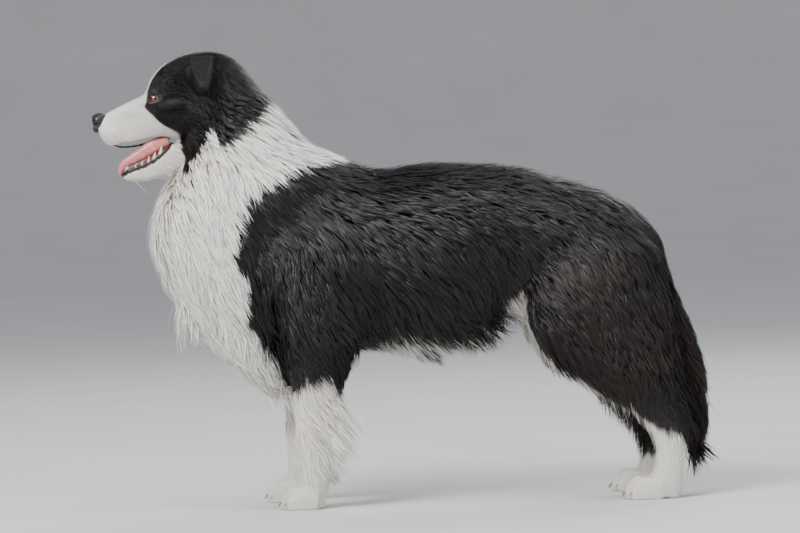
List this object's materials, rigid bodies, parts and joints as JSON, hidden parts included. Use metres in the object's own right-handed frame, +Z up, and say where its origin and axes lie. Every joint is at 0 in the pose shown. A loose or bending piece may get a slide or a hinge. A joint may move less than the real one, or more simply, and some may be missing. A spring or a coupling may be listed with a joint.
{
  "type": "dog model",
  "caption": "Life-size still model of a long-coated black and white herding dog standing square with its mouth open, outlined to the tips of its coat.",
  "frame": {"origin": "on the floor, under the centre of the bounding box", "axes": "+Z up; the dog faces -X, its left side faces -Y and its right side faces +Y"},
  "size_m": [0.941, 0.243, 0.7028],
  "materials": {
    "black_coat": "long straight black guard hair, glossy, standing in for flesh and coat together",
    "white_coat": "long soft white hair, standing in for flesh and coat together",
    "nose_leather": "moist black nose leather, semi-gloss",
    "tongue_flesh": "wet pink tongue, semi-gloss",
    "eye_glass": "solid polished eye with an amber-brown iris, glossy"
  },
  "bodies": {
    "root": {"trunk": "black_coat", "head": "black_coat", "lower_jaw": "white_coat", "neck": "white_coat", "foreleg_left": "white_coat", "foreleg_right": "white_coat", "hindleg_left": "black_coat", "hindleg_right": "black_coat", "tail": "black_coat", "ear_left": "black_coat", "ear_right": "black_coat", "nose": "nose_leather", "tongue": "tongue_flesh", "eye_left": "eye_glass", "eye_right": "eye_glass"}
  },
  "joints": []
}
